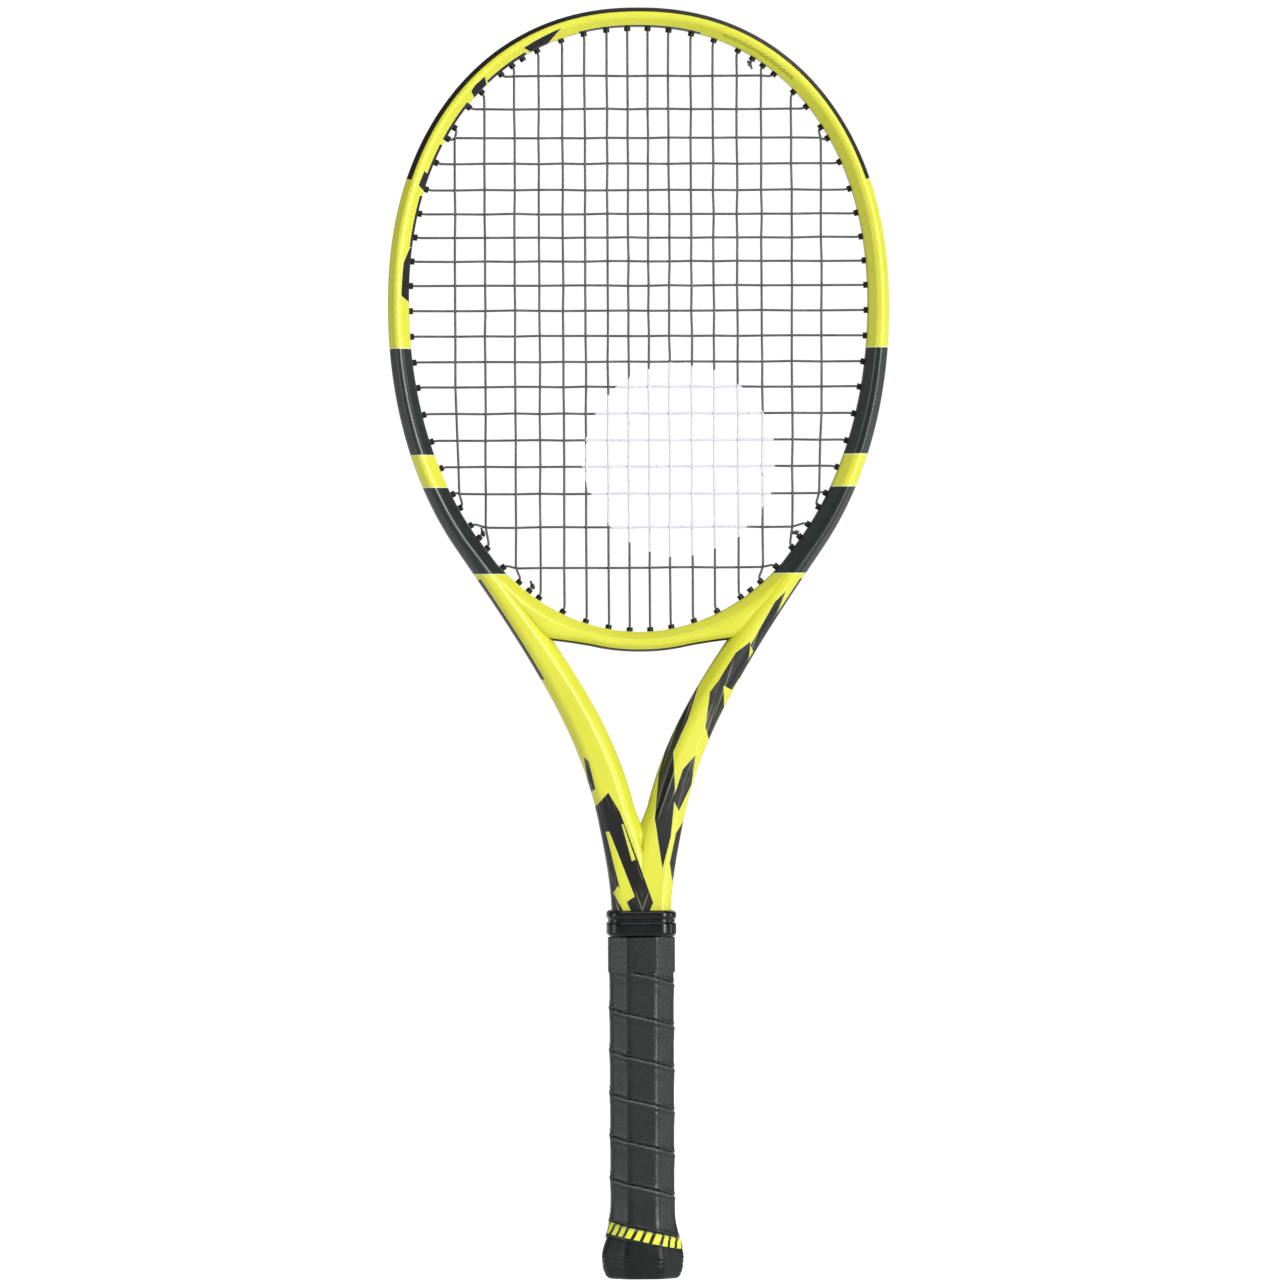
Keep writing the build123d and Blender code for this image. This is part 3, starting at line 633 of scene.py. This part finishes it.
# ---- materials ------------------------------------------------------------------------------
class Shader:
    """A material under construction: short names for the node kinds it uses."""

    def __init__(self, name):
        self.material = bpy.data.materials.new(name)
        self.material.use_nodes = True
        self.nodes, self.links = self.material.node_tree.nodes, self.material.node_tree.links
        self.surface = self.nodes["Principled BSDF"]
        self.place = self.add("ShaderNodeTexCoord").outputs["Object"]

    def add(self, kind, **settings):
        node = self.nodes.new(kind)
        for key, value in settings.items():
            setattr(node, key, value)
        return node

    def put(self, socket, value):
        if isinstance(value, bpy.types.NodeSocket):
            self.links.new(value, socket)
        elif value is not None:
            socket.default_value = value

    def math(self, operation, a, b=None, c=None):
        node = self.add("ShaderNodeMath", operation=operation)
        for socket, value in zip(node.inputs, (a, b, c)):
            self.put(socket, value)
        return node.outputs[0]

    def dot(self, a, b):
        node = self.add("ShaderNodeVectorMath", operation="DOT_PRODUCT")
        self.put(node.inputs[0], a)
        self.put(node.inputs[1], b)
        return node.outputs["Value"]

    def mix(self, share, a, b):
        node = self.add("ShaderNodeMix", data_type="RGBA")
        self.put(node.inputs[0], share)
        self.put(node.inputs[6], a)
        self.put(node.inputs[7], b)
        return node.outputs[2]

    def stretched(self, turn=(0, 0, 0), scale=(1, 1, 1)):
        node = self.add("ShaderNodeMapping")
        self.put(node.inputs["Vector"], self.place)
        node.inputs["Rotation"].default_value = [radians(a) for a in turn]
        node.inputs["Scale"].default_value = scale
        return node.outputs[0]

    def noise(self, scale, detail=3, rough=0.55, place=None):
        node = self.add("ShaderNodeTexNoise")
        self.put(node.inputs["Vector"], place or self.place)
        node.inputs["Scale"].default_value = scale
        node.inputs["Detail"].default_value = detail
        node.inputs["Roughness"].default_value = rough
        return node.outputs["Fac"]

    def cells(self, scale, place=None):
        node = self.add("ShaderNodeTexVoronoi")
        self.put(node.inputs["Vector"], place or self.place)
        node.inputs["Scale"].default_value = scale
        return node.outputs["Distance"]

    def scale(self, value, low, high, to_low, to_high):
        node = self.add("ShaderNodeMapRange")
        for socket, v in zip(node.inputs, (value, low, high, to_low, to_high)):
            self.put(socket, v)
        return node.outputs[0]

    def attribute(self, name):
        return self.add("ShaderNodeAttribute", attribute_name=name).outputs["Fac"]

    def bump(self, height, strength, distance):
        node = self.add("ShaderNodeBump")
        node.inputs["Strength"].default_value = strength
        node.inputs["Distance"].default_value = distance
        self.put(node.inputs["Height"], height)
        self.put(self.surface.inputs["Normal"], node.outputs[0])

    def finish(self, colour=None, roughness=None, **constants):
        self.put(self.surface.inputs["Base Color"], colour)
        self.put(self.surface.inputs["Roughness"], roughness)
        for key, value in constants.items():
            self.surface.inputs[key.replace("_", " ")].default_value = value
        return self.material


def tone(r, g, b):
    """Linear colour of display values from 0 to 255."""
    return tuple((v / 255 / 12.92 if v < 11 else ((v / 255 + 0.055) / 1.055) ** 2.4)
                 for v in (r, g, b)) + (1,)


def paint():
    s = Shader("frame_paint")
    parts = s.add("ShaderNodeSeparateXYZ")
    s.put(parts.inputs[0], s.place)
    x = s.math("MULTIPLY", parts.outputs[0], 1000)
    z = s.math("MULTIPLY", parts.outputs[2], 1000)
    spot = s.add("ShaderNodeCombineXYZ")
    s.put(spot.inputs[0], x)
    spot.inputs[1].default_value = 1
    s.put(spot.inputs[2], z)
    spot = spot.outputs[0]

    def convex(corners, spot=spot):
        """Distance outside a convex outline of (x, z) corners, negative inside."""
        cx = sum(c[0] for c in corners) / len(corners)
        cz = sum(c[1] for c in corners) / len(corners)
        total = None
        for (x0, z0), (x1, z1) in zip(corners, corners[1:] + corners[:1]):
            nx, nz = z1 - z0, x0 - x1
            size = hypot(nx, nz)
            nx, nz = nx / size, nz / size
            if nx * (cx - x0) + nz * (cz - z0) > 0:
                nx, nz = -nx, -nz
            side = s.dot(spot, (nx, -(nx * x0 + nz * z0), nz))
            total = side if total is None else s.math("MAXIMUM", total, side)
        return total

    def band(centre, half):
        return s.math("SUBTRACT", s.math("ABSOLUTE", s.math("SUBTRACT", z, centre)), half)

    # dark blocks across the hoop: middle height and half height
    upper, lower = band(472.75, 28.85), band(403.2, 23.5)
    dark_zone = s.math("LESS_THAN", s.math("MINIMUM", upper, lower), 0)
    rims = s.math("MINIMUM", s.math("ABSOLUTE", upper), s.math("ABSOLUTE", lower))
    pale_line = s.math("LESS_THAN", rims, 0.32)

    # angular shards on the arms and shaft
    near = None
    for corners in SHARDS:
        shape = convex(corners)
        near = shape if near is None else s.math("MINIMUM", near, shape)
    for corners in SLITS:
        near = s.math("MAXIMUM", near, s.math("MULTIPLY", convex(corners), -1))
    shard = s.math("LESS_THAN", near, 0)
    shard_edge = s.math("LESS_THAN", s.math("ABSOLUTE", near), 0.22)

    # black patches on the inner bevel of the hoop, left side, where the angle grows past 90
    angle, reach = s.attribute("rim_angle"), s.attribute("rim_reach")
    on_left = s.math("MULTIPLY", s.math("LESS_THAN", x, 0), 2)
    angle = s.math("ADD", angle, s.math("MULTIPLY", on_left, s.math("SUBTRACT", 90, angle)))
    slanted = s.math("ADD", angle, s.math("MULTIPLY", reach, 1.1))
    unrolled = s.add("ShaderNodeCombineXYZ")
    s.put(unrolled.inputs[0], s.math("MULTIPLY", angle, DEGREE_ALONG_RIM))
    unrolled.inputs[1].default_value = 1
    s.put(unrolled.inputs[2], reach)
    patches = None
    for corners in PATCHES:
        one = convex([(a * DEGREE_ALONG_RIM, r) for a, r in corners], unrolled.outputs[0])
        patches = one if patches is None else s.math("MINIMUM", patches, one)
    for first, last, wide in DARK_WALL:
        one = s.math("SUBTRACT", s.math("ABSOLUTE", s.math("SUBTRACT", angle, (first + last) / 2)),
                     (last - first) / 2)
        one = s.math("MAXIMUM", one, s.math("SUBTRACT", reach, wide))
        patches = s.math("MINIMUM", patches, one)
    patch = s.math("LESS_THAN", patches, 0)
    patch_edge = s.math("LESS_THAN", s.math("ABSOLUTE", patches), 0.16)

    # the paint itself, cloudy and finely grained, and the streaks inside the shards
    cloud = s.noise(22, 2)
    fine = s.noise(1400, 2)
    yellow = s.mix(s.scale(cloud, 0.3, 0.7, 0, 1), tone(201, 201, 54), tone(207, 208, 60))
    yellow = s.mix(s.scale(fine, 0.35, 0.75, 0, 0.05), yellow, tone(228, 230, 110))
    dark = s.mix(s.scale(cloud, 0.3, 0.7, 0, 1), tone(20, 28, 26), tone(30, 39, 36))
    dark = s.mix(s.scale(fine, 0.62, 0.8, 0, 0.35), dark, tone(86, 98, 94))
    grain = s.add("ShaderNodeCombineXYZ")
    away = s.math("ABSOLUTE", x)
    s.put(grain.inputs[0], s.math("SUBTRACT", away, s.math("MULTIPLY", z, 0.36)))
    s.put(grain.inputs[2], s.math("MULTIPLY", z, 0.035))
    streaks = s.noise(0.55, 3, 0.6, grain.outputs[0])
    streak = s.mix(s.scale(streaks, 0.54, 0.64, 0, 1), tone(9, 11, 8), tone(112, 116, 92))

    # the layers, from the lowest up
    colour = s.mix(dark_zone, yellow, dark)
    colour = s.mix(pale_line, colour, tone(205, 212, 150))
    colour = s.mix(shard_edge, colour, tone(188, 194, 110))
    colour = s.mix(shard, colour, streak)
    colour = s.mix(patch_edge, colour, tone(205, 210, 140))
    colour = s.mix(patch, colour, tone(12, 15, 12))
    # olive dashes on the inner bevel at the upper right
    dashes = s.math("LESS_THAN", s.math("FRACT", s.math("MULTIPLY", slanted, 0.8)), 0.55)
    around = s.math("SUBTRACT", s.math("ABSOLUTE", s.math("SUBTRACT", angle, 61)), 10)
    across = s.math("SUBTRACT", s.math("ABSOLUTE", s.math("SUBTRACT", reach, 3.0)), 0.8)
    marks = s.math("MULTIPLY", s.math("LESS_THAN", s.math("MAXIMUM", around, across), 0), dashes)
    colour = s.mix(marks, colour, tone(150, 152, 14))
    # the grommet strips show as dark lines along the outer edge of the arms and the bridge
    outer = s.attribute("rim_outer")
    arm_line = s.math("MAXIMUM", band(350, 27), s.math("SUBTRACT", outer, 1.25))
    bridge_line = s.math("MAXIMUM", s.math("SUBTRACT", away, 36), s.math("SUBTRACT", outer, 0.9))
    bridge_line = s.math("MAXIMUM", bridge_line, band(340, 12))
    strip_line = s.math("LESS_THAN", s.math("MINIMUM", arm_line, bridge_line), 0)
    colour = s.mix(strip_line, colour, tone(16, 19, 16))
    # painted shade: the shaft is coloured near black up to just inside the collar, so the narrow
    # gap between finishing tape and collar looks shaded; below that it is hidden under the grip
    painted_gap_shade = s.math("LESS_THAN", z, shaft_bottom + 2.5)
    colour = s.mix(painted_gap_shade, colour, tone(14, 16, 16))
    smudge = s.noise(60, 4, 0.6)
    roughness = s.scale(smudge, 0.3, 0.7, 0.27, 0.35)
    s.bump(s.noise(320, 2), 0.02, 0.0001)
    return s.finish(colour, roughness, Specular_IOR_Level=0.35, Coat_Weight=0.25,
                    Coat_Roughness=0.27)


# corners (across, height) of the angular shards, in millimetres
SHARDS = [
    [(78, 370), (72, 364), (59, 341), (62, 335), (70, 348)],
    [(59, 343), (51, 337), (41, 321), (49, 317), (58, 331)],
    [(44, 325), (37, 316), (34.5, 297), (38, 286), (45, 305)],
    [(31, 319), (25.5, 310), (15, 290), (9.5, 272), (15, 279), (25, 301)],
    [(17, 286), (9.5, 272), (7, 248), (11, 221), (15.5, 238), (18, 262)],
    [(29, 282), (22, 274), (17, 258), (20, 252), (27, 266)],
    [(23, 247), (18.5, 240), (15, 224), (16.5, 214), (21, 230)],
    [(-27, 252), (-18, 262), (-11, 250), (-1, 222), (6, 203), (-2, 184), (-22, 184)],
    [(-31, 281), (-28.5, 279), (-25, 264), (-27.5, 262)],
]
# yellow slits through the large shard on the shaft
SLITS = [
    [(-19.5, 241), (-17.5, 241), (-4, 206), (-10, 202)],
    [(-15.5, 208), (-9, 196), (-5, 196), (-13, 212)],
    [(-11, 245), (-10, 245), (-3.5, 226), (-5.5, 225)],
]
DEGREE_ALONG_RIM = 2.3
# black patches on the hoop's inner bevel: (degrees round the rim, millimetres from the inner edge)
PATCHES = [
    [(106.8, 5), (116.8, 3.6), (116.6, 2.6), (115.4, -1), (111.8, -1)],
    [(128.5, 3.9), (131.5, 4.3), (133.2, 3.6), (133.8, -1), (129.6, -1)],
    [(154, 3.4), (157.2, 3.8), (158.2, -1), (154.4, -1)],
    [(169.8, 1.2), (172.9, 3.9), (178.6, 4.4), (179.8, -1), (169.6, -1)],
]
# black stretches of the hoop's inner edge: first and last degree round the rim, width
DARK_WALL = [(76, 103, 0.75), (117, 128.7, 1.4), (135.6, 145.9, 1.5), (147.1, 154.4, 1.5),
             (159.1, 169.7, 1.5)]


def plastic(name, dark, light, rough, grain, **more):
    s = Shader(name)
    cloud = s.noise(90, 3)
    colour = s.mix(s.scale(cloud, 0.3, 0.7, 0, 1), tone(*dark), tone(*light))
    roughness = s.scale(s.noise(240, 3), 0.3, 0.7, rough - 0.06, rough + 0.08)
    s.bump(s.noise(grain, 2), 0.15, 0.0002)
    return s.finish(colour, roughness, **more)


def string_material():
    """Grey polyester, with a plain round patch of white ink that is a little worn."""
    ink_x, ink_z, ink_radius = 0.022, 0.441, 0.052
    s = Shader("string_poly")
    parts = s.add("ShaderNodeSeparateXYZ")
    s.put(parts.inputs[0], s.place)
    x = s.math("SUBTRACT", parts.outputs[0], ink_x)
    z = s.math("SUBTRACT", parts.outputs[2], ink_z)
    far = s.math("SQRT", s.math("ADD", s.math("MULTIPLY", x, x), s.math("MULTIPLY", z, z)))
    ragged = s.math("ADD", far, s.scale(s.noise(300, 2), 0.3, 0.7, -0.0012, 0.0012))
    inked = s.math("LESS_THAN", ragged, ink_radius)
    ink_wear_and_seam_highlight = s.scale(s.noise(520, 3), 0.66, 0.72, 1, 0.4)
    cloud = s.noise(160, 3)
    grey = s.mix(s.scale(cloud, 0.3, 0.7, 0, 1), tone(58, 59, 60), tone(84, 85, 86))
    colour = s.mix(s.math("MULTIPLY", inked, ink_wear_and_seam_highlight), grey, tone(204, 204, 213))
    roughness = s.scale(cloud, 0.3, 0.7, 0.28, 0.42)
    s.bump(s.noise(1500, 2), 0.12, 0.0001)
    return s.finish(colour, roughness)


def leather(name, wrapped):
    """Grained black leather. The wrapped grip also has its seam, with painted shade in the groove
    and a painted highlight just under it, and a band of yellow dashes.
    """
    s = Shader(name)
    parts = s.add("ShaderNodeSeparateXYZ")
    s.put(parts.inputs[0], s.place)
    x = s.math("MULTIPLY", parts.outputs[0], 1000)
    z = s.math("MULTIPLY", parts.outputs[2], 1000)
    cloud, pores = s.noise(70, 4, 0.6), s.cells(1500)
    grain = s.noise(1100, 4, 0.65)
    colour = s.mix(s.scale(cloud, 0.3, 0.72, 0, 1), tone(17, 23, 21), tone(29, 36, 33))
    colour = s.mix(s.scale(grain, 0.55, 0.75, 0, 0.3), colour, tone(62, 68, 64))
    if wrapped:
        band_height, band_half, dashes_round = 23.6, 3.3, 24
        height = s.math("ADD", z, s.math("MULTIPLY", x, 0.22))
        band = s.math("ABSOLUTE", s.math("SUBTRACT", height, band_height))
        band = s.math("LESS_THAN", band, band_half)
        turned = s.math("ARCTAN2", x, s.math("MULTIPLY", parts.outputs[1], -1000))
        turned = s.math("DIVIDE", turned, tau)
        along = s.math("MULTIPLY", turned, dashes_round)
        along = s.math("ADD", along, s.math("MULTIPLY", height, -0.09))
        dash = s.math("LESS_THAN", s.math("FRACT", along), 0.62)
        colour = s.mix(s.math("MULTIPLY", band, dash), colour, tone(222, 228, 60))
        # the same seam as wrap_relief's: painted shade colours its groove near black, and a
        # painted highlight colours the roll just under it pale
        seam = s.math("DIVIDE", s.math("SUBTRACT", z, seam_start), pitch)
        seam = s.math("FRACT", s.math("ADD", seam, turned))
        seam = s.math("MULTIPLY", seam, pitch)
        groove = s.math("LESS_THAN", s.math("ABSOLUTE", s.math("SUBTRACT", seam, 0.5)), 0.42)
        # painted shade: the seam groove is coloured near black
        colour = s.mix(groove, colour, tone(8, 10, 9))
        # painted highlight: the roll under the seam is coloured pale where the light would catch
        # it
        ink_wear_and_seam_highlight = s.math("MULTIPLY", s.scale(seam, pitch - 1.3, pitch - 0.4, 0, 0.6),
                      s.scale(cloud, 0.3, 0.6, 0.5, 1))
        colour = s.mix(ink_wear_and_seam_highlight, colour, tone(96, 104, 100))
    roughness = s.scale(grain, 0.3, 0.7, 0.25, 0.37)
    height = s.math("ADD", s.math("MULTIPLY", pores, 0.5), s.math("MULTIPLY", grain, 0.7))
    s.bump(height, 0.35, 0.0003)
    return s.finish(colour, roughness, Specular_IOR_Level=0.4)


def metal():
    s = Shader("staple_steel")
    streaks = s.noise(900, 2, 0.5, s.stretched((0, 0, 0), (1, 8, 8)))
    colour = s.mix(s.scale(streaks, 0.3, 0.7, 0, 1), tone(150, 150, 152), tone(190, 190, 192))
    s.bump(streaks, 0.1, 0.0001)
    return s.finish(colour, s.scale(streaks, 0.3, 0.7, 0.25, 0.4), Metallic=1.0)


def foam():
    s = Shader("pallet_foam")
    cells = s.cells(1600)
    colour = s.mix(s.scale(s.noise(120, 3), 0.3, 0.7, 0, 1), tone(58, 56, 52), tone(80, 77, 70))
    s.bump(cells, 0.5, 0.0003)
    return s.finish(colour, s.scale(cells, 0, 0.6, 0.7, 0.9))


frame_paint = paint()
guard = plastic("guard_nylon", (9, 10, 8), (18, 20, 17), 0.42, 1500, Specular_IOR_Level=0.3)
cap_plastic = plastic("cap_plastic", (12, 16, 14), (23, 28, 26), 0.36, 1700,
                      Specular_IOR_Level=0.26)
rubber = plastic("collar_rubber", (6, 9, 10), (14, 18, 20), 0.22, 900, Specular_IOR_Level=0.32)
strings = string_material()
grip_leather = leather("grip_leather", True)
tape_finish = leather("tape_vinyl", False)
steel = metal()
pallet_foam = foam()

MADE = [
    (hairpin, "frame_hairpin", "frame", frame_paint),
    (bridge, "throat_bridge", "frame", frame_paint),
    (mains, "main_string", "strings", strings),
    (crosses, "cross_string", "strings", strings),
    (grip, "base_grip", "grip", grip_leather),
    (tape, "grip_finishing_tape", "tape", tape_finish),
    (cap, "butt_cap", "cap", cap_plastic),
]
for piece, node, slot, finish in MADE:
    piece.data.materials.append(finish)
    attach(piece, "racket")
    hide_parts(node)
KEPT = {
    "bumper_guard": guard, "grommet_strip_right": guard, "grommet_strip_left": guard,
    "grommet_strip_throat": guard, "handle_pallet_front": pallet_foam,
    "handle_pallet_back": pallet_foam, "butt_cap_door": cap_plastic, "butt_cap_staples": steel,
    "grip_start_staple": steel, "grip_collar": rubber,
}
for node, finish in KEPT.items():
    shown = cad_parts[node]
    shown.data.materials.clear()
    shown.data.materials.append(finish)

# ---- floor, light and camera --------------------------------------------------------
# the floor lies a little under the cap, so the door pulled out of the cap stays in view
side, drop = 40 / MM, -22
floor = mesh_from("studio_floor", [(-side, -side, drop), (side, -side, drop), (side, side, drop),
                                   (-side, side, drop)], [(0, 1, 2, 3)])
s = Shader("studio_paper")
tint = s.mix(s.noise(3, 2), (0.5, 0.5, 0.5, 1), (0.54, 0.54, 0.54, 1))
# the floor and the sky are plain white to the camera, and light the object far less than that
seen = s.add("ShaderNodeLightPath").outputs["Is Camera Ray"]
s.put(s.surface.inputs["Emission Strength"], s.scale(seen, 0, 1, 0.42, 1.0))
floor.data.materials.append(s.finish(tint, 0.9, Emission_Color=(1, 1, 1, 1)))


def area_light(name, place, aim, size, power):
    data = bpy.data.lights.new(name, "AREA")
    data.shape, data.size, data.size_y, data.energy = "RECTANGLE", size[0], size[1], power
    light = bpy.data.objects.new(name, data)
    light.location = place
    light.rotation_euler = (Vector(aim) - Vector(place)).to_track_quat("-Z", "Y").to_euler()
    light.visible_camera = False
    bpy.context.collection.objects.link(light)


middle = (0, 0, 0.34)
area_light("key_right", (1.75, -2.6, 1.05), (0, 0, 0.78), (0.7, 2.1), 92)
area_light("side_left", (-2.5, -0.5, 0.5), middle, (0.6, 1.8), 18)
area_light("side_right", (2.5, -0.3, 0.4), middle, (0.4, 1.8), 15)
area_light("top_soft", (0, -1.0, 2.5), middle, (2.0, 1.2), 18)
area_light("back_soft", (0.6, 1.9, 1.4), middle, (1.6, 1.6), 12)

world = bpy.data.worlds.new("studio")
bpy.context.scene.world = world
world.use_nodes = True
sky = world.node_tree.nodes["Background"]
sky.inputs[0].default_value = (1, 1, 1, 1)
seen = world.node_tree.nodes.new("ShaderNodeLightPath").outputs["Is Camera Ray"]
strength = world.node_tree.nodes.new("ShaderNodeMapRange")
world.node_tree.links.new(seen, strength.inputs[0])
strength.inputs["To Min"].default_value, strength.inputs["To Max"].default_value = 0.22, 1.05
world.node_tree.links.new(strength.outputs[0], sky.inputs[1])
bpy.context.scene.view_settings.view_transform = "Standard"

camera_data = bpy.data.cameras.new("camera")
camera = bpy.data.objects.new("camera", camera_data)
bpy.context.collection.objects.link(camera)
distance, frame_height, azimuth, roll = 6.0, 0.6904, radians(-3), radians(0.25)
camera_data.lens = camera_data.sensor_width * distance / frame_height
aim = Vector((0, 0, 0.3441))
camera.location = aim + distance * Vector((sin(azimuth), -cos(azimuth), 0))
look = (aim - camera.location).to_track_quat("-Z", "Y").to_matrix().to_4x4()
camera.rotation_euler = (look @ Matrix.Rotation(-roll, 4, "Z")).to_euler()
bpy.context.scene.camera = camera
